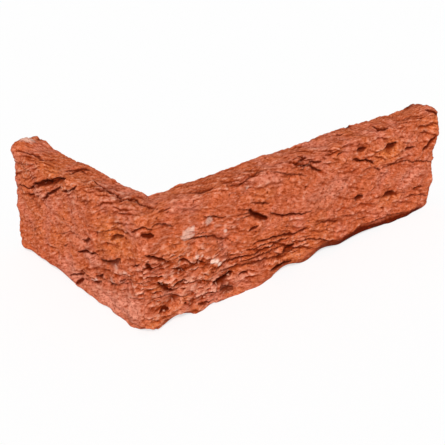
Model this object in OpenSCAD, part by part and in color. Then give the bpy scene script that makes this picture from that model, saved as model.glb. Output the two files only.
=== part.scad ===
// Corner brick slip: the outer skin of a corner brick, fired in one piece and sawn flat behind.
// It stands on its bed face, as it is laid. The origin is on the bed plane where the two
// sawn backs meet, so the wall's corner touches it there. The long stretcher leg runs
// along +X with its outer face towards -Y, and the short header leg runs along +Y with its
// outer face towards -X.

/* [Size] */
// Length of the long leg's outer face, from the corner to its end
stretcher_length = 232; // [150:1:300]
// Length of the short leg's outer face, from the corner to its end
header_length = 122; // [80:1:150]
// Height of the slip, bed to bed
course_height = 65; // [50:1:90]
// Thickness from the outer face to the sawn back
slip_thickness = 18; // [14:0.5:30]

/* [Edges] */
// Radius of the worn corner between the two outer faces
corner_radius = 5; // [2:0.5:8]
// Rounding of the upper edge of the outer faces
top_edge_radius = 3.0; // [1:0.1:4]
// Rounding of the lower edge of the outer faces
foot_edge_radius = 1.5; // [1:0.1:4]
// Rounding of the two ends
end_edge_radius = 3.0; // [1:0.1:4]
// How far in from the outer face the bed may lift off the floor
foot_lift_reach = 8; // [4:0.5:10]

/* [Relief] */
// Height of the broad waves of the clay, as a share of the ones modelled
wave_strength = 1; // [0:0.1:1.3]
// Depth of the folds, cracks and pits, as a share of the ones modelled
fold_strength = 1; // [0:0.1:1.3]

/* [Mesh] */
// Steps of the surface along the long leg
stretcher_steps = 94; // [40:2:94]
// Steps of the surface along the short leg
header_steps = 50; // [20:2:50]
// Steps of the surface up the outer face
up_steps = 25; // [10:1:25]
// Steps of the surface from the outer face to behind the saw cut
deep_steps = 8; // [5:1:8]

/* [Hidden] */

// How far the clay runs past the sawn planes before the core is sawn away
saw_allowance = 2;
// Bend that is left in the clay behind the saw cut, where the legs meet
inner_bend_radius = 0.6;
blank_depth = slip_thickness + saw_allowance;
// The last row but one lies just behind the saw cut, so the whole part has an even mesh
last_row_depth = slip_thickness + saw_allowance / 3;

along_steps = header_steps + stretcher_steps;
ring_size = up_steps + 2 * deep_steps + 1;
cap_inner = (up_steps - 1) * (deep_steps - 1);
cap_base = (along_steps + 1) * ring_size;

// Places below are in millimetres on the unrolled outer face: first the distance from the
// corner, negative along the header and positive along the stretcher, then the height above
// the bed. Heights past the upper edge go on across the top.

// Crests and dips of the upper edge: [place, half width, height]
top_edge_waves = [
    [-120, 16, 1.2], [-78, 10, -1.0], [-26, 6, -0.8],
    [36, 34, 0.9], [104, 10, -0.5], [148, 20, 1.2], [190, 28, -1.1], [227, 14, 1.9]
];
// Stretches where the lower edge is lifted off the floor: [place, half width, height]
foot_lifts = [
    [-114, 28, 3.2], [-84, 28, 3.8], [-52, 20, 1.8], [-32, 10, 1.4], [1, 12, 3.4], [20, 14, 4.6],
    [45, 7, 1.2], [99, 15, 4.4], [130, 16, 4.8], [162, 30, 2.6], [232, 6, 1.0]
];
// Long waves of both faces: [height, wave length, direction in plan, rise, start angle]
clay_waves = [
    [0.34, 74, 20, 25, 40], [0.30, 47, 100, -35, 150], [0.26, 31, 60, 50, 260],
    [0.22, 21, 150, -20, 10], [0.20, 14.5, 35, 65, 95], [0.18, 10.5, 115, 40, 330],
    [0.20, 12.3, 75, 10, 20], [0.18, 9.1, 10, -50, 140], [0.16, 7.9, 130, -70, 290]
];
// Broken, lumpy clay around the corner: [place, height, half width, half height, gain]
lumpy_patch = [18, 14, 42, 30, 1.6];

// Folds and cracks: [half width, depth, route]
folds = [
    [4.0, 2.3, [[-119, 43], [-110, 45], [-103, 46], [-95, 52], [-84, 56], [-76, 60], [-66, 64]]],
    [3.0, 1.2, [[-89, 44], [-84, 49], [-79, 52], [-70, 58]]],
    [3.0, 1.3, [[-69, 56], [-60, 59], [-54, 64]]],
    [2.8, 0.9, [[-116, 64], [-104, 68], [-92, 69]]],
    [2.8, 0.9, [[-50, 72], [-34, 72], [-18, 71]]],
    [3.0, 1.4, [[-59, 24], [-54, 26], [-45, 29], [-38, 30]]],
    [3.4, 1.4, [[-36, 29], [-27, 31], [-18, 37]]],
    [3.0, 1.1, [[-53, 33], [-44, 38]]],
    [3.0, 1.0, [[-26, 44], [-21, 48], [-14, 51]]],
    [2.8, 0.9, [[-68, 6], [-60, 10], [-51, 15]]],
    [2.8, 1.0, [[-63, 3], [-56, 8]]],
    [2.8, 0.9, [[-46, 11], [-37, 15]]],
    [2.8, 0.9, [[-29, 17], [-22, 20]]],
    [2.8, 1.1, [[0, 56], [8, 54]]],
    [2.8, 1.0, [[2, 46], [10, 41], [17, 37]]],
    [2.8, 1.0, [[22, 36], [30, 31], [39, 29]]],
    [3.0, 1.2, [[2, 40], [6, 36]]],
    [3.0, 1.2, [[9, 28], [18, 20]]],
    [2.8, 1.0, [[9, 10], [15, 10]]],
    [2.8, 0.9, [[34, 5], [42, 3]]],
    [2.8, 0.9, [[26, 46], [43, 41], [57, 34]]],
    [4.0, 2.2, [[71, 46], [75, 42], [81, 39]]],
    [2.8, 1.0, [[69, 36], [76, 37]]],
    [2.8, 0.9, [[84, 42], [95, 36], [109, 33], [116, 33]]],
    [2.8, 1.0, [[72, 26], [96, 24], [116, 22]]],
    [2.8, 0.9, [[46, 19], [67, 16], [102, 12]]],
    [3.6, 2.4, [[44, 14], [60, 15]]],
    [4.0, 2.2, [[50, 10], [57, 5]]],
    [3.2, 1.7, [[95, 14], [105, 15]]],
    [3.6, 2.4, [[86, 6], [103, 6]]],
    [2.8, 1.0, [[101, 65], [114, 61], [125, 54]]],
    [3.2, 1.5, [[150, 54], [162, 51], [170, 46], [177, 41]]],
    [3.0, 1.2, [[177, 42], [200, 40], [230, 31]]],
    [3.0, 1.1, [[152, 58], [162, 60]]],
    [3.0, 1.1, [[178, 53], [191, 55]]],
    [3.2, 1.5, [[229, 49], [222, 44], [217, 43]]],
    [2.8, 1.1, [[224, 73], [230, 63]]],
    [2.8, 1.0, [[176, 74], [176, 69], [185, 68]]],
    [3.0, 1.1, [[153, 27], [164, 28]]],
    [3.0, 1.1, [[180, 21], [196, 21]]],
    [3.0, 1.2, [[160, 7], [180, 6], [208, 3]]]
];
// Pits, chips and lumps: [place, height, half width, half height, outwards]
spots = [
    [19, 14, 5, 3.5, -3.0], [27, 22, 7, 5, 0.9], [12, 24, 7, 6, 0.9], [38, 12, 8, 6, 0.9],
    [40, 26, 9, 6, 0.7], [60, 22, 9, 7, -0.6], [33, 38, 6, 4, -0.6], [6, 50, 5, 3.5, 0.6],
    [14, 46, 5, 3, -0.6], [22, 51, 6, 4, 0.6], [30, 43, 5, 3, -0.6], [38, 48, 6, 4, 0.6],
    [46, 43, 5, 3, -0.6], [54, 50, 6, 3.5, 0.4], [4, 32, 4.5, 3.5, 0.7], [13, 34, 5, 3, 0.6],
    [24, 30, 5, 3, -0.6], [35, 33, 5, 4, 0.7], [45, 35, 5, 3.5, 0.7], [53, 30, 5, 3, -0.6],
    [62, 34, 5, 4, 0.5], [-4, 22, 4, 4, 0.6], [4, 17, 4, 4, -0.6], [20, 8, 5, 3.5, 0.6],
    [30, 15, 5, 3, -0.6], [46, 21, 5, 3, 0.6], [33, 25, 4, 3, -0.6], [-10, 12, 6, 4, -0.5],
    [5, 8, 5, 3.5, 0.6], [-93, 53, 10, 3.5, 1.0], [-84, 48, 9, 3, 1.1], [-100, 40, 9, 6, 0.6],
    [-26, 9, 22, 8, 1.2], [-72, 30, 14, 9, -0.7], [-45, 40, 12, 10, 0.7], [-65, 52, 6, 3, 0.9],
    [-45, 25, 5, 3, 0.9], [-22, 31, 4, 3, 0.6], [-25, 23, 5, 3.5, 0.6], [-119, 71, 8, 7, 2.1],
    [72, 5, 17, 8, 2.8], [75, 35, 6, 3, 0.9], [120, 40, 16, 12, 0.6], [150, 24, 16, 12, -0.6],
    [160, 46, 9, 4, 0.7], [181, 75, 7, 7, 1.1], [184, 48, 8, 4, 0.7], [215, 24, 12, 12, 0.8],
    [214, 4, 12, 6, 1.8], [230, 51, 8, 11, 2.8], [235, 77, 6, 9, -2.4], [-122, 16, 7, 18, 1.2]
];

function sum(list) = list * [for (item = list) 1];
function hump(x) = abs(x) < 1 ? pow(cos(90 * x), 2) : 0;
function wave_sum(list, along) = sum([for (w = list) w[2] * hump((along - w[0]) / w[1])]);

// Height of the top face and of the bed at a place along the legs
function top_z(along) = course_height + wave_strength * wave_sum(top_edge_waves, along);
function foot_z(along, deep) =
    deep >= foot_lift_reach ? 0
    : wave_strength * wave_sum(foot_lifts, along) * pow(1 - deep / foot_lift_reach, 2);

// Distance from a point to the stretch between two others
function stretch_distance(p, a, b) =
    let (ab = b - a, share = max(0, min(1, ((p - a) * ab) / (ab * ab)))) norm(p - a - share * ab);
function fold_depth(p, fold) =
    let (route = fold[2],
         far = min([for (i = [0:len(route) - 2]) stretch_distance(p, route[i], route[i + 1])]))
    fold[1] * hump(far / fold[0]);
function spot_height(p, spot) =
    let (x = (p[0] - spot[0]) / spot[2], y = (p[1] - spot[1]) / spot[3])
    spot[4] * exp(-x * x - y * y);

// Outward height of the surface at a point in space and its place on the unrolled face
function relief(space, place) =
    let (x = (place[0] - lumpy_patch[0]) / lumpy_patch[2],
         y = (place[1] - lumpy_patch[1]) / lumpy_patch[3],
         gain = 1 + (lumpy_patch[4] - 1) * exp(-x * x - y * y),
         broad = sum([for (w = clay_waves)
             w[0] * sin(360 / w[1] * (cos(w[3]) * (cos(w[2]) * space[0] + sin(w[2]) * space[1])
                 + sin(w[3]) * space[2]) + w[4])]),
         cut = max([for (fold = folds) fold_depth(place, fold)]),
         lump = sum([for (spot = spots) spot_height(place, spot)]))
    wave_strength * gain * broad + fold_strength * (lump - cut);

// Plan position of a place along the legs at a depth behind the outer face
function bend(deep) =
    corner_radius + (inner_bend_radius - corner_radius) * max(0, deep) / blank_depth;
function plan(along, deep) =
    let (leg = along < 0 ? header_length : stretcher_length,
         r = bend(deep),
         centre = -slip_thickness + deep + r,
         turn = 225 + 45 * max(-1, min(1, along / corner_radius)),
         run = max(0, abs(along) - corner_radius) * (leg - deep - r) / (leg - corner_radius),
         x = centre + r * cos(turn),
         y = centre + r * sin(turn))
    along < 0 ? [x, y + run] : [x + run, y];

// Point of the clay blank: its box is rounded at the outer edges and then given its relief
function clay_point(along, deep, up) =
    let (low = foot_z(along, deep),
         high = top_z(along),
         z = low + up * (high - low),
         upper = up > 0.5,
         edge = upper ? top_edge_radius : foot_edge_radius,
         along_core = max(end_edge_radius - header_length,
             min(stretcher_length - end_edge_radius, along)),
         deep_core = max(edge, deep),
         z_core = max(low + foot_edge_radius, min(high - top_edge_radius, z)),
         raw = [(along - along_core) / end_edge_radius, (deep - deep_core) / edge,
             (z - z_core) / edge],
         size = norm(raw),
         out = size > 0 ? raw / size : raw,
         a = along_core + out[0] * end_edge_radius,
         d = deep_core + out[1] * edge,
         h = z_core + out[2] * edge,
         flat_place = plan(a, d),
         on_top = max(0, out[2]),
         rise = out[2] < -0.9 ? 0
             : relief([flat_place[0], flat_place[1], h], [a, h + on_top * d]),
         place = plan(a + rise * out[0], d + rise * out[1]))
    [place[0], place[1], h + rise * on_top];

function step_place(i) =
    i < header_steps ? header_length * (i / header_steps - 1)
    : stretcher_length * (i - header_steps) / stretcher_steps;

function step_depth(j) = j < deep_steps ? last_row_depth * j / (deep_steps - 1) : blank_depth;

// Points run round each section: up the outer face, over the top and back under the bed
function ring_index(j, k) =
    j == 0 ? k : k == up_steps ? up_steps + j : up_steps + 2 * deep_steps + 1 - j;
function ring_place(n) =
    n <= up_steps ? [0, n]
    : n <= up_steps + deep_steps ? [n - up_steps, up_steps]
    : [up_steps + 2 * deep_steps + 1 - n, 0];
function cap_index(last, j, k) =
    j == 0 || k == 0 || k == up_steps
    ? (last ? along_steps * ring_size : 0) + ring_index(j, k)
    : cap_base + (last ? cap_inner : 0) + (j - 1) * (up_steps - 1) + k - 1;
function grid_point(i, j, k) = clay_point(step_place(i), step_depth(j), k / up_steps);

module clay_blank() {
    points = [
        for (i = [0:along_steps], n = [0:ring_size - 1])
            let (p = ring_place(n)) grid_point(i, p[0], p[1]),
        for (i = [0, along_steps], j = [1:deep_steps - 1], k = [1:up_steps - 1])
            grid_point(i, j, k)
    ];
    skin = [
        for (i = [0:along_steps - 1], n = [0:ring_size - 1])
            let (a = i * ring_size, b = a + ring_size, m = (n + 1) % ring_size)
            each [[a + n, a + m, b + m], [a + n, b + m, b + n]]
    ];
    ends = [
        for (last = [false, true], j = [0:deep_steps - 2], k = [0:up_steps - 1])
            let (a = cap_index(last, j, k), b = cap_index(last, j, k + 1),
                 c = cap_index(last, j + 1, k + 1), d = cap_index(last, j + 1, k))
            each last ? [[a, b, c], [a, c, d]] : [[a, c, b], [a, d, c]]
    ];
    // Behind the saw cut each end closes with a fan from its lowest point
    fans = [
        for (last = [false, true], k = [0:up_steps])
            let (foot = cap_index(last, deep_steps, 0),
                 a = cap_index(last, deep_steps - 1, k),
                 b = cap_index(last, k < up_steps ? deep_steps - 1 : deep_steps,
                     min(k + 1, up_steps)))
            last ? [foot, a, b] : [foot, b, a]
    ];
    polyhedron(points = points, faces = concat(skin, ends, fans));
}

// Body of the brick that the saw takes away, which leaves the two flat backs
module sawn_core() {
    over = 20;
    translate([0, 0, -over])
        cube([stretcher_length + over, header_length + over, course_height + 2 * over]);
}

module corner_slip() {
    color([0.72, 0.38, 0.27])
        difference() {
            clay_blank();
            sawn_core();
        }
}

corner_slip();
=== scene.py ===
"""Corner brick slip in hand-moulded fired clay: rough folded outer faces, worn corner, sawn flat backs."""

import math

import bpy
import numpy as np
from mathutils import Matrix, Vector


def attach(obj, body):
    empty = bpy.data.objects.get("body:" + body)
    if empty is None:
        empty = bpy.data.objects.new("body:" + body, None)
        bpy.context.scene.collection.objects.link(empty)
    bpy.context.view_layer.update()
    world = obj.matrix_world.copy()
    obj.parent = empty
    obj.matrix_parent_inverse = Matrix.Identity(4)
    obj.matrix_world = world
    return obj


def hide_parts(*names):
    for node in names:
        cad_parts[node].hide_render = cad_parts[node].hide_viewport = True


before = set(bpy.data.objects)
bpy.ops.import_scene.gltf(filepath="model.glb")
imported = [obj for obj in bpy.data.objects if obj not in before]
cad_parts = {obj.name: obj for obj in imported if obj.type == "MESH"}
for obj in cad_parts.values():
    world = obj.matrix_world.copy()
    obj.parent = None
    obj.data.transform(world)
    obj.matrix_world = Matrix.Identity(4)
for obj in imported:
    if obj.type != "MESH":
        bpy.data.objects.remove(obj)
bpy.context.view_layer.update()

# Sizes of the slip in millimetres, as it is made
MM = 0.001
STRETCHER = 232.0
HEADER = 122.0
HEIGHT = 65.0
THICK = 18.0
CORNER_RADIUS = 5.0
INNER_RADIUS = 0.3
TOP_EDGE = 3.0
FOOT_EDGE = 1.5
END_EDGE = 3.0
LIFT_REACH = 8.0

# What the mesh tells its material at each point
MASKS = ("painted_shade", "proud", "lime", "warmth", "crumbled")

# Steps of the surface grid, fine enough for grains of grog on the outer faces
ALONG_STEP = 0.66
UP_STEP = 0.64
DEEP_STEP = 0.85

# Places are on the unrolled outer face, in millimetres: the distance from the corner,
# negative along the header, then the height. Heights past HEIGHT run on across the top.
# Crests and dips of the upper edge: place, half width, height
TOP_WAVES = [
    (-120, 16, 1.2), (-78, 10, -1.0), (-26, 6, -0.8),
    (36, 34, 0.9), (104, 10, -0.5), (148, 20, 1.2), (190, 28, -1.1), (227, 14, 1.9),
]
# Stretches where the lower edge is off the floor: place, half width, height
FOOT_LIFTS = [
    (-114, 28, 3.2), (-84, 28, 3.8), (-52, 20, 1.8), (-32, 10, 1.4), (1, 12, 3.4), (20, 14, 4.6),
    (45, 7, 1.2), (99, 15, 4.4), (130, 16, 4.8), (162, 30, 2.6), (232, 6, 1.0),
]
# Long waves of the clay: height, wave length, direction in plan, rise, start angle
CLAY_WAVES = [
    (0.34, 74, 20, 25, 40), (0.30, 47, 100, -35, 150), (0.26, 31, 60, 50, 260),
    (0.22, 21, 150, -20, 10), (0.20, 14.5, 35, 65, 95), (0.18, 10.5, 115, 40, 330),
    (0.20, 12.3, 75, 10, 20), (0.18, 9.1, 10, -50, 140), (0.16, 7.9, 130, -70, 290),
]
# Lumpy clay around the corner: place, height, half width, half height, gain
LUMPY_PATCH = (18, 14, 42, 30, 1.6)

# Stretches where the clay lies in many folds: place, height, half width, half height
FOLDED_PATCHES = [
    (98, 12, 50, 15), (-96, 56, 28, 16), (118, 64, 38, 11), (185, 52, 38, 11), (62, 68, 30, 10),
    (222, 56, 18, 13), (190, 16, 34, 8), (-30, 66, 28, 10),
]
# Stretches that were pressed smooth: place, height, half width, half height
SMOOTH_PATCHES = [
    (-30, 7, 22, 7), (-10, 13, 12, 9), (-80, 30, 22, 14), (-56, 40, 14, 10), (130, 38, 30, 10),
    (205, 27, 24, 6),
]
# Stretches where the clay was drawn out in long strands: place, height, half width, half height, share
DRAWN_PATCHES = [
    (92, 17, 42, 15, 1.0), (60, 66, 40, 9, 0.8), (120, 64, 40, 9, 0.6), (40, 47, 26, 8, 0.9),
    (-90, 62, 22, 7, 0.8), (200, 66, 30, 7, 0.8),
]
# Stretches that crumbled into small bits, besides the corner: place, height, half width, half height
CRUMBLED_PATCHES = [
    (-102, 41, 8, 4), (-91, 46, 9, 4.5), (-79, 52, 9, 4.5), (-66, 58, 9, 4), (-50, 14, 10, 5),
    (-36, 19, 9, 5), (-24, 23, 9, 6), (-12, 27, 9, 6), (-48, 71, 10, 4), (-30, 70, 10, 4),
    (-14, 72, 8, 4), (-104, 20, 6, 3.5), (108, 61, 9, 4), (-108, 58, 8, 5),
]
# Batches of clay: place, height, half width, half height, warmth from -1 for pink to 1 for orange
CLAY_BATCHES = [
    (-81, 65, 12, 8, 0.8), (-24, 46, 16, 9, 0.9), (-36, 35, 8, 5, 0.6), (183, 50, 17, 8, 0.8),
    (229, 60, 8, 9, 0.7), (104, 8, 16, 4, 0.7), (20, 42, 14, 8, 0.5), (190, 18, 16, 6, 0.6),
    (10, 25, 5, 4, 0.8), (26, 12, 6, 4, 0.7), (4, 6, 6, 4, 0.7), (38, 21, 6, 3, 0.6),
    (-30, 8, 22, 7, -1.0), (-9, 14, 10, 9, -0.8), (-45, 26, 7, 3, -0.9), (-23, 31, 5, 3, -0.9),
    (32, 18, 10, 8, -0.6), (-64, 9, 9, 6, -0.8), (-92, 47, 8, 3, -0.8), (130, 40, 22, 9, -0.5),
    (60, 10, 10, 4, -0.6), (-56, 34, 22, 9, -0.4), (205, 28, 20, 6, -0.4), (14, 20, 6, 3, -0.8),
    (-60, 55, 8, 4, -0.6),
]

# Folds and cracks that show one by one: half width, depth, darkness of the painted shade in the groove,
# route
FOLDS = [
    (0.9, 1.2, 1.0, [(-119, 43), (-110, 45), (-103, 46), (-95, 52), (-84, 56), (-76, 60), (-66, 64)]),
    (1.75, 2.4, 1.0, [(-99, 50), (-89, 54), (-79, 58), (-71, 62), (-65, 65)]),
    (1.3, 1.3, 0.9, [(-89, 44), (-84, 49), (-79, 52), (-70, 58)]),
    (1.2, 1.1, 0.9, [(-69, 56), (-60, 59), (-54, 64)]),
    (1.3, 1.1, 0.9, [(-67, 70), (-65, 78), (-58, 80)]),
    (1.2, 1.0, 0.9, [(-72, 71), (-66, 77), (-56, 76)]),
    (1.2, 1.0, 0.9, [(-50, 72), (-42, 73), (-34, 72), (-25, 73), (-18, 71), (-12, 76), (2, 74), (12, 68)]),
    (1.2, 0.9, 0.8, [(-107, 40), (-99, 44)]),
    (1.2, 0.8, 0.8, [(-116, 64), (-110, 67), (-104, 68), (-98, 70), (-92, 69), (-89, 74)]),
    (1.3, 1.7, 1.0, [(-59, 24), (-54, 26), (-50, 28), (-45, 29), (-41, 30), (-38, 30)]),
    (1.9, 1.8, 0.7, [(-36, 29), (-32, 30), (-27, 31), (-22, 34), (-18, 37)]),
    (1.4, 1.2, 0.8, [(-53, 33), (-49, 34), (-44, 38)]),
    (1.5, 1.2, 0.7, [(-26, 44), (-21, 48), (-14, 51)]),
    (0.9, 0.7, 0.7, [(-72, 22), (-68, 25)]),
    (0.9, 0.6, 0.5, [(-80, 26), (-66, 33), (-55, 36)]),
    (0.9, 0.7, 0.6, [(-35, 46), (-22, 51), (-11, 54)]),
    (1.2, 1.0, 0.9, [(-68, 6), (-60, 10), (-55, 12), (-51, 15)]),
    (1.3, 1.1, 0.9, [(-42, 17), (-38, 18), (-34, 22)]),
    (1.5, 1.3, 0.9, [(-63, 3), (-56, 8)]),
    (1.2, 1.0, 0.9, [(-46, 11), (-41, 13), (-37, 15)]),
    (1.2, 1.0, 0.9, [(-29, 17), (-25, 20), (-22, 20)]),
    (1.1, 0.9, 0.8, [(-19, 25), (-14, 27)]),
    (1.1, 0.9, 0.8, [(-8, 36), (-2, 40)]),
    (1.6, 1.4, 1.0, [(0, 56), (8, 54)]),
    (1.4, 1.2, 0.9, [(2, 46), (5, 43), (10, 41), (17, 37)]),
    (1.3, 1.1, 0.9, [(22, 36), (27, 34), (30, 31)]),
    (1.3, 1.1, 0.9, [(33, 32), (39, 29)]),
    (1.8, 1.5, 1.0, [(2, 40), (4, 38), (6, 36)]),
    (1.3, 1.1, 0.9, [(18, 23), (22, 24), (27, 23)]),
    (1.2, 1.0, 0.9, [(20, 32), (23, 30), (26, 28)]),
    (1.6, 1.4, 1.0, [(9, 28), (13, 24), (18, 20)]),
    (1.6, 1.3, 1.0, [(9, 10), (12, 11), (15, 10)]),
    (1.4, 1.1, 0.9, [(34, 5), (42, 3)]),
    (1.0, 0.8, 0.8, [(7, 60), (14, 58), (20, 55)]),
    (1.1, 0.9, 0.8, [(-8, 56), (1, 60), (7, 57)]),
    (1.2, 0.9, 0.8, [(10, 67), (14, 66), (18, 66)]),
    (1.0, 0.8, 0.8, [(38, 54), (46, 51), (53, 49)]),
    (1.1, 0.9, 0.8, [(26, 46), (35, 43), (43, 41), (50, 37), (57, 34)]),
    (1.9, 2.5, 1.0, [(69, 48), (74, 44), (78, 41), (83, 39)]),
    (0.8, 0.7, 0.7, [(61, 51), (65, 50), (70, 47)]),
    (0.8, 0.7, 0.7, [(60, 48), (65, 47), (71, 45)]),
    (0.8, 0.7, 0.7, [(62, 44), (67, 44), (72, 44)]),
    (1.4, 1.2, 1.0, [(69, 36), (72, 37), (76, 37)]),
    (1.2, 1.0, 0.9, [(84, 42), (90, 39), (95, 36), (102, 35), (109, 33), (116, 33)]),
    (1.1, 0.8, 0.8, [(70, 52), (84, 47)]),
    (1.4, 1.2, 0.9, [(72, 26), (80, 26), (88, 25), (96, 24), (105, 22), (116, 22)]),
    (1.2, 1.0, 0.9, [(54, 22), (62, 21), (72, 20)]),
    (1.1, 0.9, 0.8, [(46, 19), (58, 18), (67, 16), (88, 13), (102, 12), (117, 12)]),
    (0.8, 0.7, 0.9, [(63, 25), (74, 23), (87, 22), (100, 21)]),
    (0.8, 0.7, 0.9, [(60, 19), (72, 18), (86, 17), (101, 17)]),
    (0.9, 0.8, 0.9, [(108, 15), (116, 14), (123, 12), (133, 8)]),
    (1.0, 0.8, 0.8, [(57, 22), (70, 20), (85, 20), (101, 21)]),
    (2.1, 2.6, 1.0, [(44, 14), (51, 14), (58, 15)]),
    (1.3, 1.1, 0.9, [(62, 12), (66, 12), (69, 11)]),
    (3.0, 2.2, 0.7, [(49, 10), (53, 8), (58, 5)]),
    (2.0, 2.0, 1.0, [(95, 14), (100, 15), (105, 15)]),
    (2.0, 2.6, 1.0, [(86, 6), (94, 6), (102, 6)]),
    (1.2, 0.9, 0.8, [(121, 22), (132, 21), (141, 17)]),
    (1.2, 0.8, 0.8, [(30, 73), (38, 70), (46, 70)]),
    (1.2, 0.9, 0.8, [(54, 67), (62, 64), (76, 69), (83, 68)]),
    (1.1, 0.8, 0.7, [(84, 66), (92, 62), (112, 55)]),
    (1.4, 1.2, 0.9, [(101, 65), (107, 62), (114, 61), (118, 57), (125, 54)]),
    (1.4, 1.2, 0.9, [(107, 70), (112, 68), (102, 64)]),
    (1.2, 1.0, 0.9, [(113, 63), (124, 60)]),
    (1.1, 0.9, 0.8, [(136, 60), (141, 61)]),
    (1.2, 1.0, 0.9, [(158, 84), (163, 82)]),
    (1.1, 0.8, 0.8, [(145, 80), (149, 76)]),
    (1.3, 1.7, 1.0, [(150, 54), (154, 53), (162, 51), (170, 46)]),
    (1.0, 1.0, 0.8, [(170, 44), (174, 42), (177, 41)]),
    (1.0, 1.1, 0.75, [(177, 42), (189, 41), (200, 40), (210, 37), (218, 35), (230, 31)]),
    (2.0, 1.7, 0.85, [(153, 60), (157, 59), (161, 59)]),
    (2.0, 1.7, 0.85, [(179, 55), (184, 54), (190, 54)]),
    (1.4, 1.1, 0.9, [(199, 48), (209, 47)]),
    (1.8, 1.7, 1.0, [(229, 49), (222, 44), (217, 43)]),
    (1.4, 1.2, 1.0, [(224, 73), (225, 68), (230, 63)]),
    (1.4, 1.2, 0.9, [(176, 74), (176, 69), (180, 67), (185, 68)]),
    (1.0, 0.8, 0.9, [(169, 28), (172, 31)]),
    (1.2, 0.9, 0.8, [(212, 18), (223, 16)]),
    (2.0, 1.7, 0.85, [(155, 28), (163, 27)]),
    (2.0, 1.6, 0.85, [(182, 22), (193, 21)]),
    (1.2, 1.0, 0.65, [(203, 14), (219, 12), (229, 8)]),
    (1.6, 1.4, 0.5, [(160, 7), (180, 6), (208, 3)]),
    (1.1, 0.7, 0.7, [(196, 74), (206, 71), (218, 69)]),
]
# Ledges, whose rim stands out below a hollow: half width, depth, darkness of the painted shade in the
# hollow, route of the rim
LEDGES = [
    (2.2, 1.9, 0.1, [(-66, 4), (-49, 10), (-37, 14), (-26, 18), (-15, 23), (-5, 27), (1, 28)]),
    (1.6, 0.9, 0.2, [(-92, 62), (-84, 64), (-74, 66)]),
]
# Pits, chips and lumps: place, height, half width, half height, outwards
SPOTS = [
    (19, 14, 5, 3.5, -3.0), (27, 22, 7, 5, 0.9), (12, 24, 7, 6, 0.9), (38, 12, 8, 6, 0.9),
    (40, 26, 9, 6, 0.7), (60, 22, 9, 7, -0.6), (33, 38, 6, 4, -0.6), (6, 50, 5, 3.5, 0.6),
    (14, 46, 5, 3, -0.6), (22, 51, 6, 4, 0.6), (30, 43, 5, 3, -0.6), (38, 48, 6, 4, 0.6),
    (46, 43, 5, 3, -0.6), (54, 50, 6, 3.5, 0.4), (4, 32, 4.5, 3.5, 0.7), (13, 34, 5, 3, 0.6),
    (24, 30, 5, 3, -0.6), (35, 33, 5, 4, 0.7), (45, 35, 5, 3.5, 0.7), (53, 30, 5, 3, -0.6),
    (62, 34, 5, 4, 0.5), (-4, 22, 4, 4, 0.6), (4, 17, 4, 4, -0.6), (20, 8, 5, 3.5, 0.6),
    (30, 15, 5, 3, -0.6), (46, 21, 5, 3, 0.6), (33, 25, 4, 3, -0.6), (-10, 12, 6, 4, -0.5),
    (5, 8, 5, 3.5, 0.6), (-93, 53, 10, 3.5, 1.0), (-84, 48, 9, 3, 1.1), (-100, 40, 9, 6, 0.6),
    (-26, 9, 22, 8, 1.2), (-72, 30, 14, 9, -0.7), (-45, 40, 12, 10, 0.7), (-65, 52, 6, 3, 0.9),
    (-45, 25, 5, 3, 0.9), (-22, 31, 4, 3, 0.6), (-25, 23, 5, 3.5, 0.6), (-119, 71, 8, 7, 2.1),
    (72, 5, 17, 8, 2.8), (75, 35, 6, 3, 0.9), (120, 40, 16, 12, 0.6), (150, 24, 16, 12, -0.6),
    (160, 46, 9, 4, 0.7), (181, 75, 7, 7, 1.1), (184, 48, 8, 4, 0.7), (215, 24, 12, 12, 0.8),
    (214, 4, 12, 6, 1.8), (230, 51, 8, 11, 2.8), (235, 77, 6, 9, -2.4), (-122, 16, 7, 18, 1.2),
    (-38, 43, 1.6, 1.4, -1.3), (233, 66, 5, 4, -1.6), (232, 75, 8, 3.5, 2.1), (222, 84, 8, 4, -1.3),
    (232, 80, 4, 2.5, -1.2), (233, 4, 5, 7, -1.4),
    (-122, 75, 6, 4, 1.3), (-121, 83, 6, 3.5, -1.6),
]
# Grains of pale lime that the clay held: place, height, radius, whiteness
LIME_GRAINS = [
    (28, 48, 4.6, 0.48), (31, 50, 1.8, 0.6), (42, 50, 2.8, 0.45), (-26, 22, 2.2, 0.35),
    (44, 27, 1.8, 1.0), (47, 26, 1.5, 0.9), (49, 24, 1.6, 1.0),
    (34, 34, 1.8, 0.6), (53, 41, 1.4, 0.6), (-14, 31, 1.8, 0.4), (-45, 13, 1.6, 0.6),
    (-42, 15, 1.2, 0.6), (-22, 31, 2.0, 0.3), (68, 61, 1.2, 0.5), (76, 60, 1.0, 0.4), (37, 33, 0.9, 0.6),
    (-119, 75, 5.5, 0.5), (-118, 78, 2.0, 0.6),
]


def hump(x):
    """A single smooth bump: the squared cosine of a quarter turn at x = 1, and nothing past it."""
    return np.where(np.abs(x) < 1, np.cos(np.clip(x, -1, 1) * math.pi / 2) ** 2, 0.0)


def fade(low, high, x):
    """Eases from 0 at low to 1 at high by 3t^2 - 2t^3."""
    t = np.clip((x - low) / (high - low), 0, 1)
    return t * t * (3 - 2 * t)


def slope_noise(points, cell, seed):
    """Smooth noise from about -1 to 1: a cube lattice of that cell has a random slope at each
    corner, and the eight slopes around a point are eased together by 6t^5 - 15t^4 + 10t^3."""
    rng = np.random.default_rng(seed)
    order = rng.permutation(256)
    slopes = rng.normal(size=(256, 3))
    slopes /= np.linalg.norm(slopes, axis=1, keepdims=True)
    scaled = points / cell
    base = np.floor(scaled).astype(int)
    inside = scaled - base
    ease = inside ** 3 * (inside * (inside * 6 - 15) + 10)
    total = np.zeros(len(points))
    for corner in np.ndindex(2, 2, 2):
        at = base + corner
        pick = order[at[:, 0] & 255]
        pick = order[(pick + at[:, 1]) & 255]
        pick = order[(pick + at[:, 2]) & 255]
        weight = np.prod(np.where(corner, ease, 1 - ease), axis=1)
        total += weight * np.sum(slopes[pick] * (inside - corner), axis=1)
    return total * 1.6


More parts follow.
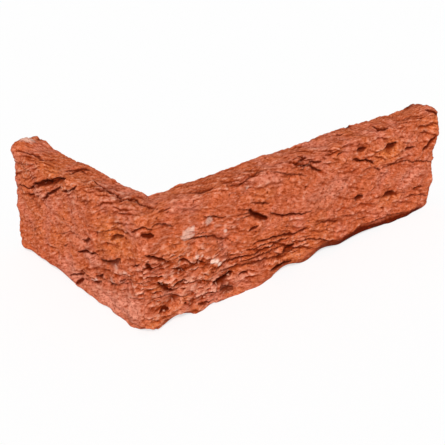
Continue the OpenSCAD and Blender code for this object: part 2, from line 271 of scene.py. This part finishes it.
def layered_noise(points, cell, layers, seed):
    """A sum of slope noises, each with half the cell and half the height of the one before."""
    return sum(slope_noise(points, cell / 2 ** n, seed + n) / 2 ** n for n in range(layers))


def patch(place, spot):
    """Oval around a spot on the unrolled face that fades out by exp(-r^2)."""
    px, py, half_x, half_y = spot[:4]
    return np.exp(-((place[:, 0] - px) / half_x) ** 2 - ((place[:, 1] - py) / half_y) ** 2)


def scatter(place, cell, seed):
    """Distance in cells to the nearest point of a jittered square lattice, and two random
    numbers from 0 to 1 that belong to that point."""
    rng = np.random.default_rng(seed)
    order = rng.permutation(256)
    chance = rng.random((256, 4))
    scaled = place / cell
    base = np.floor(scaled).astype(int)
    best = np.full(len(place), 9.0)
    owner = np.zeros((len(place), 2))
    for step in np.ndindex(3, 3):
        at = base + np.array(step) - 1
        pick = chance[order[(order[at[:, 0] & 255] + at[:, 1]) & 255]]
        far = np.linalg.norm(scaled - at - pick[:, :2], axis=1)
        nearer = far < best
        best = np.where(nearer, far, best)
        owner = np.where(nearer[:, None], pick[:, 2:], owner)
    return best, owner


def wave_sum(waves, along):
    """Heights of all the humps in the list, added up at each place along the legs."""
    return sum(height * hump((along - place) / half) for place, half, height in waves)


def foot_height(along, deep):
    """How far the bed is off the floor: the lifts fade as a square towards the flat bed."""
    return wave_sum(FOOT_LIFTS, along) * np.clip(1 - deep / LIFT_REACH, 0, 1) ** 2


def plan(along, deep):
    """Plan position of a place along the legs at a depth behind the outer face. Both legs are
    straight, and round the corner the place runs on an arc whose radius shrinks with depth."""
    leg = np.where(along < 0, HEADER, STRETCHER)
    radius = CORNER_RADIUS + (INNER_RADIUS - CORNER_RADIUS) * np.clip(deep / THICK, 0, 1)
    centre = deep + radius - THICK
    turn = np.radians(225 + 45 * np.clip(along / CORNER_RADIUS, -1, 1))
    past = np.maximum(0, np.abs(along) - CORNER_RADIUS)
    run = past * (leg - deep - radius) / (leg - CORNER_RADIUS)
    x = centre + radius * np.cos(turn) + np.where(along < 0, 0, run)
    y = centre + radius * np.sin(turn) + np.where(along < 0, run, 0)
    return x, y


def fold_relief(place, ragged, folds, steep=1):
    """Grooves along the listed routes. Above a route the wall is steep, like a lip that hangs
    over, and below it the floor climbs slowly; for a ledge, where steep is -1, it is the other
    way round. A fold thins out towards its two ends. Returns the depth, and the painted shade
    that darkens the colour along the groove."""
    depth = np.zeros(len(place))
    painted_shade = np.zeros(len(place))
    for half, deep, shade, route in folds:
        route = np.array(route, float)
        middle = route.mean(axis=0)
        reach = np.abs(route - middle).max() + 4 * half
        near = np.flatnonzero(np.abs(place - middle).max(axis=1) < reach)
        spot = place[near] + ragged[near, None] * np.array([0.3, 1.0])
        length = np.concatenate([[0], np.cumsum(np.linalg.norm(np.diff(route, axis=0), axis=1))])
        best = np.full(len(near), 1e9)
        side = np.zeros(len(near))
        share = np.zeros(len(near))
        for n in range(len(route) - 1):
            way = route[n + 1] - route[n]
            t = np.clip(((spot - route[n]) @ way) / (way @ way), 0, 1)
            off = spot - route[n] - t[:, None] * way
            far = np.linalg.norm(off, axis=1)
            nearer = far < best
            best = np.where(nearer, far, best)
            side = np.where(nearer, steep * np.sign(off[:, 1]), side)
            share = np.where(nearer, (length[n] + t * (length[n + 1] - length[n])) / length[-1], share)
        taper = np.sqrt(np.clip(4 * share * (1 - share), 0, 1)) * 0.85 + 0.15
        width = half * taper * np.where(side > 0, 0.45, 1.25)
        shape = np.exp(-(best / width) ** 2)
        depth[near] = np.maximum(depth[near], deep * taper * shape)
        wide = 0.3 + 0.5 * fade(1.1, 2.1, half)
        line = np.exp(-(best / (half * taper * np.where(side > 0, 0.25 + wide, 0.5 + wide))) ** 4)
        painted_shade[near] = np.maximum(painted_shade[near], shade * line)
    return depth, painted_shade


def overlap_relief(along, level, deep, pitch, wander, seed, stretch=1.0):
    """Thin sheets of clay that lap over each other like shingles. The level is cut into bands
    a pitch high, bent by noise. Each band stands out at its lower lip and slopes back to the
    next. A second noise breaks the lips into short stretches, longer where the noise is
    stretched along the legs. Returns height, and painted shade along the lips."""
    spread = np.stack([along / stretch, level * 1.8, deep * 1.2], axis=1)
    bands = level / pitch + wander * layered_noise(spread, pitch * 2.6, 3, seed)
    share = bands - np.floor(bands)
    lip = 0.12
    shape = np.where(share < lip, share / lip, (1 - share) / (1 - lip))
    edge = np.minimum(share, 1 - share)
    shown = fade(0.0, 0.4, layered_noise(spread, pitch * 2.2, 2, seed + 50))
    return (shape - 0.5) * shown, np.exp(-(edge / 0.07) ** 2) * shown


def short_folds(along, level, bent, cell, half, seed, share):
    """Short creases, one in most cells of a jittered lattice that follows the flow of the clay.
    Each has its own tilt, bow and length, a steep lip above it that stands proud, and a floor
    that climbs slowly below it. Returns height from -1 to about 0.4, and painted shade in the crease."""
    rng = np.random.default_rng(seed)
    order = rng.permutation(256)
    chance = rng.random((256, 6))
    spot = np.stack([along / cell[0], (level + bent) / cell[1]], axis=1)
    base = np.floor(spot).astype(int)
    cut = np.zeros(len(along))
    lip = np.zeros(len(along))
    for step in np.ndindex(3, 3):
        at = base + np.array(step) - 1
        own = chance[order[(order[at[:, 0] & 255] + at[:, 1]) & 255]]
        off = (spot - at - own[:, :2]) * np.array(cell)
        reach = cell[0] * (0.35 + 0.55 * own[:, 2])
        tilt, bow = 0.5 * (own[:, 3] - 0.5), 0.7 * (own[:, 4] - 0.5) / cell[0]
        across = off[:, 1] - tilt * off[:, 0] + bow * off[:, 0] ** 2
        taper = np.clip(1 - (off[:, 0] / reach) ** 2, 0, 1) * (own[:, 5] < share)
        width = half * (0.6 + 0.4 * taper) * np.where(across > 0, 0.45, 1.2)
        cut = np.maximum(cut, taper * np.exp(-(across / width) ** 2))
        lip = np.maximum(lip, taper * np.exp(-((across - 1.4 * half) / (1.2 * half)) ** 2))
    return 0.4 * lip - cut, cut


def clay_relief(along, deep, level, space, place, past_end):
    """Outward height of the clay in millimetres at each point, with its masks: painted shade in
    the folds, cracks, pits and along the foot, how proud the point stands, lime, warmth of its
    colour, and how crumbled it is. The listed folds, crumbs and lime fade out past the ends of
    the legs."""
    x = (place[:, 0] - LUMPY_PATCH[0]) / LUMPY_PATCH[2]
    y = (place[:, 1] - LUMPY_PATCH[1]) / LUMPY_PATCH[3]
    lumpy = np.exp(-x * x - y * y)
    gain = 1 + (LUMPY_PATCH[4] - 1) * lumpy
    broad = np.zeros(len(along))
    for height, length, heading, rise, start in CLAY_WAVES:
        heading, rise, start = np.radians([heading, rise, start])
        way = math.cos(heading) * space[:, 0] + math.sin(heading) * space[:, 1]
        run = math.cos(rise) * way + math.sin(rise) * space[:, 2]
        broad += height * np.sin(2 * math.pi * run / length + start)

    ragged = 0.7 * slope_noise(space, 5.0, 11) + 0.4 * slope_noise(space, 2.2, 12)
    wrapped = place + np.stack([past_end, 0.4 * past_end], axis=1)
    groove, painted_shade = fold_relief(wrapped, ragged, FOLDS)
    hollow, hollow_painted_shade = fold_relief(wrapped, ragged, LEDGES, -1)
    groove, painted_shade = np.maximum(groove, hollow), np.maximum(painted_shade, hollow_painted_shade)
    lump = np.zeros(len(along))
    for spot in SPOTS:
        shape = patch(place, spot)
        lump += spot[4] * shape
        # A spot pushed in deeply gets painted shade in its colour.
        if spot[4] < -1:
            painted_shade = np.maximum(painted_shade, 0.8 * shape ** 2)

    broken = fade(0.15, 0.6, lumpy)
    for spot in CRUMBLED_PATCHES:
        broken = np.maximum(broken, 0.9 * patch(place, spot))
    busy = 0.7 * fade(0.0, 0.7, slope_noise(space, 30.0, 71))
    bumpy = 0.75 + 0.4 * slope_noise(space, 16.0, 72)
    for spot in FOLDED_PATCHES:
        busy = np.maximum(busy, 1.2 * patch(place, spot) * bumpy)
    busy = np.maximum(busy, broken)
    for spot in SMOOTH_PATCHES:
        rough_share = 1 - patch(place, spot)
        busy, broken = busy * rough_share, broken * rough_share
    warmth = sum(spot[4] * patch(place, spot) for spot in CLAY_BATCHES)
    sheets, sheet_painted_shade = overlap_relief(along, level, deep, 9.0, 0.9, 21)
    thin, thin_painted_shade = overlap_relief(along, level, deep, 4.4, 0.9, 31)
    folds, fold_painted_shade = short_folds(along, level, ragged, (17, 6.4), 0.8, 61, 0.6)
    creases, crease_painted_shade = short_folds(along, level, 0.8 * ragged, (10, 3.8), 0.55, 62, 0.6)
    crumbs, crumb_painted_shade = short_folds(along, level, 0.7 * ragged, (4.6, 2.5), 0.5, 63, 0.7)
    strands, strand_painted_shade = overlap_relief(along, level, deep, 3.4, 0.9, 81, 5.0)
    fine_strands, fine_painted_shade = overlap_relief(along, level, deep, 2.3, 0.9, 91, 6.0)
    lumps = 0.32 * layered_noise(space, 6.5, 3, 42)
    lumps += 0.4 * slope_noise(space, 12.0, 46) * (1 - 0.6 * lumpy)
    long_way = np.stack([0.65 * along, level, deep], axis=1)
    grit = 0.34 * slope_noise(long_way, 2.6, 44) + 0.24 * slope_noise(long_way, 1.5, 45)

    near, chance = scatter(wrapped + ragged[:, None] * 0.5, 4.6, 51)
    chunks = fade(0.62, 0.34, near) * (chance[:, 0] - 0.4) * 1.1 * broken
    near, chance = scatter(wrapped + ragged[:, None] * 0.3, 8.0, 52)
    size = 0.06 + 0.08 * chance[:, 1]
    pits = fade(size, size * 0.3, near) * (chance[:, 0] < 0.3)

    lime = np.zeros(len(along))
    rough_edge = layered_noise(space, 2.2, 2, 54)
    for px, py, radius, white in LIME_GRAINS:
        off_x, off_y = wrapped[:, 0] - px, wrapped[:, 1] - py
        far = np.hypot(0.8 * off_x, off_y + 0.6 * ragged) * (1 + 0.35 * rough_edge)
        lime = np.maximum(lime, white * fade(radius, radius * 0.4, far))

    drawn = np.zeros(len(along))
    for spot in DRAWN_PATCHES:
        drawn = np.maximum(drawn, spot[4] * patch(place, spot))
    strength = 0.25 + 0.65 * busy
    sheets *= (1 - 0.5 * broken) * (1 - 0.6 * drawn)
    layers = (0.5 * sheets + 0.4 * thin + 0.7 * folds + 0.6 * creases) * strength
    calm = 0.35 + 0.65 * fade(0.0, 9.0, space[:, 2])
    small = layers + (0.08 + 0.12 * busy + 0.6 * broken) * crumbs + grit
    small += (0.1 + 0.8 * drawn) * (strands + 0.6 * fine_strands)
    small *= calm
    height = gain * (broad + calm * lumps) + lump + small + calm * chunks + 0.5 * lime - groove - 0.9 * pits
    shade = (0.3 + 0.7 * busy) * (1 - 0.5 * lumpy)
    # Painted shade along the lower edge of the long leg, where the foot curls under and its shadow falls.
    above_foot = space[:, 2] - foot_height(along, deep) + 1.2 * ragged
    foot_painted_shade = fade(5.0, 2.0, above_foot) * fade(60, 170, along) * fade(232, 214, along)
    # Painted shade: the shadows in the sheets, creases, strands, crumbs and pits, and along the foot,
    # darken the colour.
    for mask, weight in ((sheet_painted_shade, 0.4 * shade), (thin_painted_shade, 0.35 * shade), (fold_painted_shade, 0.8 * shade),
                         (strand_painted_shade, 0.8 * drawn), (fine_painted_shade, 0.6 * drawn), (foot_painted_shade, 0.95),
                         (crease_painted_shade, 0.7 * shade), (crumb_painted_shade, 0.35 * broken), (pits, 0.8)):
        painted_shade = np.maximum(painted_shade, weight * mask)
    painted_shade *= 1 - lime
    # The proud mask is the small relief and the chunks less the painted shade: the material paints it
    # lighter as dust with painted highlight, and darker as painted shade where it sinks in.
    return height, painted_shade, small + 0.4 * chunks - 0.4 * painted_shade, lime, warmth, broken


def clay_surface(along, deep, up):
    """Points of the slip, with their masks. A box in (along, deep, up) is rounded at its outer
    edges: a point's offset from the inner box is brought to the edge radius, and the relief
    then pushes it along the same offset. The bed stays flat where it meets the floor."""
    low = foot_height(along, deep)
    high = HEIGHT + wave_sum(TOP_WAVES, along)
    z = low + up * (high - low)
    edge = np.where(up > 0.5, TOP_EDGE, FOOT_EDGE)
    core = np.stack([
        np.clip(along, END_EDGE - HEADER, STRETCHER - END_EDGE),
        np.maximum(deep, edge),
        np.clip(z, low + FOOT_EDGE, high - TOP_EDGE),
    ], axis=1)
    radii = np.stack([np.full(len(along), END_EDGE), edge, edge], axis=1)
    out = (np.stack([along, deep, z], axis=1) - core) / radii
    size = np.linalg.norm(out, axis=1, keepdims=True)
    out = out / np.maximum(size, 1e-9)
    a, d, h = (core + out * radii).T
    x, y = plan(a, d)
    space = np.stack([x, y, h], axis=1)
    on_top = np.maximum(0, out[:, 2])
    place = np.stack([a, h + on_top * d], axis=1)
    lean = np.where(a < 0, 0.45, 0.25) * np.sqrt(a * a + 60) + 0.9 * d
    rise, *masks = clay_relief(a, d, h + lean, space, place, out[:, 0] * d)
    rise = np.where(out[:, 2] < -0.9, 0, rise)
    x, y = plan(a + rise * out[:, 0], d + rise * out[:, 1])
    z = h + rise * out[:, 2]
    points = np.stack([x, y, np.maximum(z, 0)], axis=1) * MM
    masks = dict(zip(MASKS, masks))
    masks["grain_place"] = np.stack([0.5 * a, h + lean, d], axis=1) * MM
    return points, masks


def slip_mesh():
    """One closed surface: a strip up the outer face, over the top and under the bed at each
    step along the legs, a grid over each end, and flat faces for the two sawn backs."""
    header_steps = round(HEADER / ALONG_STEP)
    stretcher_steps = round(STRETCHER / ALONG_STEP)
    header_places = np.linspace(-HEADER, 0, header_steps + 1)[:-1]
    along = np.concatenate([header_places, np.linspace(0, STRETCHER, stretcher_steps + 1)])
    ups = np.linspace(0, 1, round(HEIGHT / UP_STEP) + 1)
    deeps = np.linspace(0, THICK, round(THICK / DEEP_STEP) + 1)
    columns, rows, depths = len(along), len(ups), len(deeps)

    ring_up = np.concatenate([ups, np.ones(depths - 1), np.zeros(depths - 1)])
    ring_deep = np.concatenate([np.zeros(rows), deeps[1:], deeps[:0:-1]])
    ring = len(ring_up)
    skin = np.arange(columns * ring).reshape(columns, ring)
    cap = np.full((2, depths, rows), -1)
    for n, column in enumerate((0, columns - 1)):
        cap[n, 0, :] = skin[column, :rows]
        cap[n, 1:, -1] = skin[column, rows:rows + depths - 1]
        cap[n, 1:, 0] = skin[column, :rows + depths - 2:-1]
        cap[n, 1:, 1:-1] = columns * ring + n * (depths - 1) * (rows - 2) + np.arange(
            (depths - 1) * (rows - 2)).reshape(depths - 1, rows - 2)
    cap_deep, cap_up = np.meshgrid(deeps[1:], ups[1:-1], indexing="ij")
    points, masks = clay_surface(
        np.concatenate([np.repeat(along, ring), np.repeat(along[[0, -1]], cap_up.size)]),
        np.concatenate([np.tile(ring_deep, columns), np.tile(cap_deep.ravel(), 2)]),
        np.concatenate([np.tile(ring_up, columns), np.tile(cap_up.ravel(), 2)]))

    back = rows + depths - 2
    first = np.array([n for n in range(ring) if n != back])
    second = (first + 1) % ring
    quads = [np.stack([skin[:-1, first], skin[1:, first], skin[1:, second], skin[:-1, second]], axis=-1)]
    for n, turn in ((0, -1), (1, 1)):
        grid = cap[n]
        quad = np.stack([grid[:-1, :-1], grid[1:, :-1], grid[1:, 1:], grid[:-1, 1:]], axis=-1)
        quads.append(quad[..., ::turn])
    bend = np.flatnonzero(np.abs(along) <= CORNER_RADIUS)
    upper, lower = skin[:, back], skin[:, back + 1]
    quads.append(np.stack([upper[bend[:-1]], upper[bend[1:]], lower[bend[1:]], lower[bend[:-1]]], axis=-1))
    quads = np.concatenate([q.reshape(-1, 4) for q in quads])
    legs = [
        np.concatenate([upper[:bend[0] + 1], lower[bend[0]::-1], cap[0, -1, 1:-1]]),
        np.concatenate([upper[bend[-1]:], cap[1, -1, -2:0:-1], lower[:bend[-1] - 1:-1]]),
    ]
    mesh = bpy.data.meshes.new("clay_skin")
    mesh.from_pydata(points.tolist(), [], quads.tolist() + [leg.tolist() for leg in legs])
    for name, values in masks.items():
        kind, key = ("FLOAT_VECTOR", "vector") if values.ndim == 2 else ("FLOAT", "value")
        data = mesh.attributes.new(name, kind, "POINT").data
        data.foreach_set(key, values.astype(np.float32).ravel())
    material = np.zeros(len(mesh.polygons), np.int32)
    material[-2 - (len(bend) - 1):] = 1
    mesh.polygons.foreach_set("material_index", material)
    mesh.polygons.foreach_set("use_smooth", np.ones(len(mesh.polygons), bool))
    mesh.set_sharp_from_angle(angle=math.radians(60))
    mesh.validate()
    return mesh


def linear(hex_colour):
    """Scene colour of an sRGB hex value, channel by channel."""
    channels = [int(hex_colour[n:n + 2], 16) / 255 for n in (1, 3, 5)]
    return tuple(c / 12.92 if c <= 0.04045 else ((c + 0.055) / 1.055) ** 2.4 for c in channels) + (1,)


def add(tree, kind, inputs=(), **settings):
    """Adds a node, sets its properties, and fills its inputs: an output is linked, a value is set."""
    node = tree.nodes.new("ShaderNode" + kind)
    for name, value in settings.items():
        setattr(node, name, value)
    for name, value in dict(inputs).items():
        if isinstance(value, bpy.types.NodeSocket):
            tree.links.new(value, node.inputs[name])
        else:
            node.inputs[name].default_value = value
    return node


def ramp(tree, value, low, high):
    """A value mapped to 0 at low and 1 at high, clamped."""
    inputs = {"Value": value, "From Min": low, "From Max": high}
    return add(tree, "MapRange", inputs).outputs["Result"]


def blend(tree, share, first, second, kind="MIX"):
    """Mixes two colours by a share."""
    inputs = {0: share, 6: first, 7: second}
    return add(tree, "Mix", inputs, data_type="RGBA", blend_type=kind).outputs[2]


def new_material(name):
    """An empty node material and its output node."""
    material = bpy.data.materials.new(name)
    material.use_nodes = True
    material.node_tree.nodes.clear()
    return material, material.node_tree


def folded_clay():
    """Hand-moulded clay fired red and matt, with warmer and pinker batches of clay, sand on its
    skin and a few grains of lime. What stands proud is paler, with dust and painted highlight,
    what sinks in has painted shade, and the folds, cracks and pits have deep brown painted shade."""
    material, tree = new_material("hand_moulded_fired_clay")
    spot = add(tree, "TexCoord").outputs["Object"]
    masks = {name: add(tree, "Attribute", attribute_name=name).outputs["Fac"] for name in MASKS}
    unrolled = add(tree, "Attribute", attribute_name="grain_place").outputs["Vector"]

    def noise(size, detail, rough=0.55, where=spot):
        inputs = {"Vector": where, "Scale": 1 / (size * MM), "Detail": detail, "Roughness": rough}
        return add(tree, "TexNoise", inputs).outputs["Fac"]

    warm = ramp(tree, noise(34, 3), 0.42, 0.62)
    pink = ramp(tree, noise(19, 3), 0.48, 0.66)
    drawn = add(tree, "VectorMath", {0: unrolled, 1: (0.45, 1, 1)}, operation="MULTIPLY").outputs["Vector"]
    sand = noise(1.5, 3, 0.8, unrolled)
    flakes = noise(2.6, 4, 0.75, drawn)
    colour = blend(tree, warm, linear("#C5623D"), linear("#CB683C"))
    colour = blend(tree, pink, colour, linear("#CF7459"))
    colour = blend(tree, ramp(tree, masks["warmth"], 0.1, 0.9), colour, linear("#D5713A"))
    colour = blend(tree, ramp(tree, masks["warmth"], -0.1, -0.9), colour, linear("#DC8A70"))
    tone = add(tree, "Math", {0: ramp(tree, noise(9, 3, 0.6), 0.50, 0.66), 1: 0.35}, operation="MULTIPLY")
    colour = blend(tree, tone.outputs["Value"], colour, linear("#A04A26"))
    colour = blend(tree, ramp(tree, sand, 0.36, 0.49), linear("#8E3512"), colour)
    # Paler tops of the sand's bumps: the grains' own paler colour, with painted highlight.
    colour = blend(tree, ramp(tree, sand, 0.54, 0.76), colour, linear("#E69E84"))
    # Painted highlight, with dust, on what stands proud.
    colour = blend(tree, ramp(tree, masks["proud"], 0.08, 0.7), colour, linear("#EFAC92"))
    # Painted shade on what sinks in.
    colour = blend(tree, ramp(tree, masks["proud"], -0.02, -0.7), colour, linear("#8C2F08"))
    # Deep brown painted shade in the folds, cracks, pits and along the foot.
    colour = blend(tree, ramp(tree, masks["painted_shade"], 0.12, 0.85), colour, linear("#561400"))
    colour = blend(tree, ramp(tree, masks["lime"], 0.1, 0.8), colour, linear("#F3CBB8"))
    colour = blend(tree, ramp(tree, flakes, 0.44, 0.30), colour, linear("#9A3812"))
    crumbs = ramp(tree, noise(3.0, 2), 0.60, 0.74)
    pale = add(tree, "Math", {0: crumbs, 1: masks["crumbled"]}, operation="MULTIPLY").outputs["Value"]
    colour = blend(tree, pale, colour, linear("#E39E80"))
    inputs = {"Value": masks["crumbled"], "To Min": 0.7, "To Max": 1.6}
    deeper = add(tree, "MapRange", inputs).outputs["Result"]
    flake_height = add(tree, "Math", {0: flakes, 1: deeper}, operation="MULTIPLY").outputs["Value"]
    inputs = {"Height": flake_height, "Strength": 0.8, "Distance": 1.4 * MM}
    flaked = add(tree, "Bump", inputs).outputs["Normal"]
    inputs = {"Height": sand, "Strength": 0.65, "Distance": 0.7 * MM, "Normal": flaked}
    grain = add(tree, "Bump", inputs).outputs["Normal"]
    inputs = {"Base Color": colour, "Roughness": 0.92, "Specular IOR Level": 0.06, "Normal": grain}
    surface = add(tree, "BsdfPrincipled", inputs)
    add(tree, "OutputMaterial", {"Surface": surface.outputs["BSDF"]})
    return material


def sawn_clay():
    """The same fired clay where the saw went through it: flat, open grained and paler with
    saw dust, with the shallow arcs of the blade and small voids."""
    material, tree = new_material("sawn_fired_clay")
    spot = add(tree, "TexCoord").outputs["Object"]

    def noise(size, detail, rough=0.55):
        inputs = {"Vector": spot, "Scale": 1 / (size * MM), "Detail": detail, "Roughness": rough}
        return add(tree, "TexNoise", inputs).outputs["Fac"]

    grog = noise(2.0, 2, 0.7)
    colour = blend(tree, ramp(tree, noise(28, 3), 0.4, 0.62), linear("#C2694A"), linear("#CC7A5C"))
    colour = blend(tree, ramp(tree, grog, 0.28, 0.45), linear("#93462B"), colour)
    colour = blend(tree, ramp(tree, grog, 0.62, 0.75), colour, linear("#DDA08A"))
    inputs = {0: spot, 1: (-0.06, -0.03, 0.19)}
    from_hub = add(tree, "VectorMath", inputs, operation="ADD").outputs["Vector"]
    inputs = {"Vector": from_hub, "Scale": 120.0, "Distortion": 1.2, "Detail": 2.0}
    arcs = add(tree, "TexWave", inputs, wave_type="RINGS", rings_direction="SPHERICAL").outputs["Fac"]
    colour = blend(tree, 0.10, colour, arcs, "OVERLAY")
    marks = add(tree, "Bump", {"Height": arcs, "Strength": 0.3, "Distance": 0.2 * MM}).outputs["Normal"]
    grain_inputs = {"Height": grog, "Strength": 0.4, "Distance": 0.5 * MM, "Normal": marks}
    grain = add(tree, "Bump", grain_inputs).outputs["Normal"]
    inputs = {"Base Color": colour, "Roughness": 0.9, "Specular IOR Level": 0.25, "Normal": grain}
    surface = add(tree, "BsdfPrincipled", inputs)
    add(tree, "OutputMaterial", {"Surface": surface.outputs["BSDF"]})
    return material


def make_slip():
    """The slip's dressed surface, in place of the plain solid."""
    slip = bpy.data.objects.new("clay_slip", slip_mesh())
    bpy.context.scene.collection.objects.link(slip)
    slip.data.materials.append(folded_clay())
    slip.data.materials.append(sawn_clay())
    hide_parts("corner_slip")
    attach(slip, "root")


def make_floor():
    """A plain pale floor that runs out of view on all sides."""
    half = 3.0
    mesh = bpy.data.meshes.new("floor")
    corners = [(-half, -half, 0), (half, -half, 0), (half, half, 0), (-half, half, 0)]
    mesh.from_pydata(corners, [], [(0, 1, 2, 3)])
    floor = bpy.data.objects.new("floor", mesh)
    bpy.context.scene.collection.objects.link(floor)
    material, tree = new_material("pale_floor")
    inputs = {"Base Color": linear("#F7F7F7"), "Roughness": 1.0, "Specular IOR Level": 0.0}
    matt = add(tree, "BsdfPrincipled", inputs).outputs["BSDF"]
    white = add(tree, "Emission", {"Color": (1, 1, 1, 1), "Strength": 1.0}).outputs["Emission"]
    seen = add(tree, "LightPath").outputs["Is Camera Ray"]
    share = add(tree, "Math", {0: seen, 1: 0.7}, operation="MULTIPLY").outputs["Value"]
    surface = add(tree, "MixShader", {0: share, 1: matt, 2: white}).outputs["Shader"]
    add(tree, "OutputMaterial", {"Surface": surface})
    mesh.materials.append(material)


def make_lights():
    """One broad sun over the outer corner, which reaches both faces and the top alike, and an
    even white sky."""
    sun = bpy.data.lights.new("sun", "SUN")
    sun.energy = 3.15
    sun.angle = math.radians(6)
    lamp = bpy.data.objects.new("sun", sun)
    lamp.rotation_euler = Vector((-0.53, -0.59, 0.78)).to_track_quat("Z", "Y").to_euler()
    bpy.context.scene.collection.objects.link(lamp)
    world = bpy.data.worlds.new("sky")
    world.use_nodes = True
    world.node_tree.nodes.clear()
    seen = add(world.node_tree, "LightPath").outputs["Is Camera Ray"]
    inputs = {"Value": seen, "To Min": 0.34, "To Max": 1.0}
    strength = add(world.node_tree, "MapRange", inputs).outputs["Result"]
    sky = add(world.node_tree, "Background", {"Color": (1, 1, 1, 1), "Strength": strength})
    add(world.node_tree, "OutputWorld", {"Surface": sky.outputs["Background"]})
    bpy.context.scene.world = world


def make_camera():
    """The photograph's view: from over the outer corner, a little nearer the long face's front."""
    azimuth, elevation = math.radians(-41.33), math.radians(26.59)
    distance = 446.3 * MM
    aim = Vector((48.6, 0.0, 34.7)) * MM
    back = Vector((math.sin(azimuth) * math.cos(elevation),
                   -math.cos(azimuth) * math.cos(elevation), math.sin(elevation)))
    right = Vector((math.cos(azimuth), math.sin(azimuth), 0))
    camera = bpy.data.cameras.new("camera")
    camera.sensor_width = 36.0
    camera.lens = 67.05
    camera.clip_start = 0.01
    holder = bpy.data.objects.new("camera", camera)
    turn = Matrix((right, back.cross(right), back)).transposed().to_4x4()
    holder.matrix_world = Matrix.Translation(aim + back * distance) @ turn
    bpy.context.scene.collection.objects.link(holder)
    bpy.context.scene.camera = holder


make_camera()
make_slip()
make_floor()
make_lights()
bpy.context.scene.view_settings.view_transform = "Standard"
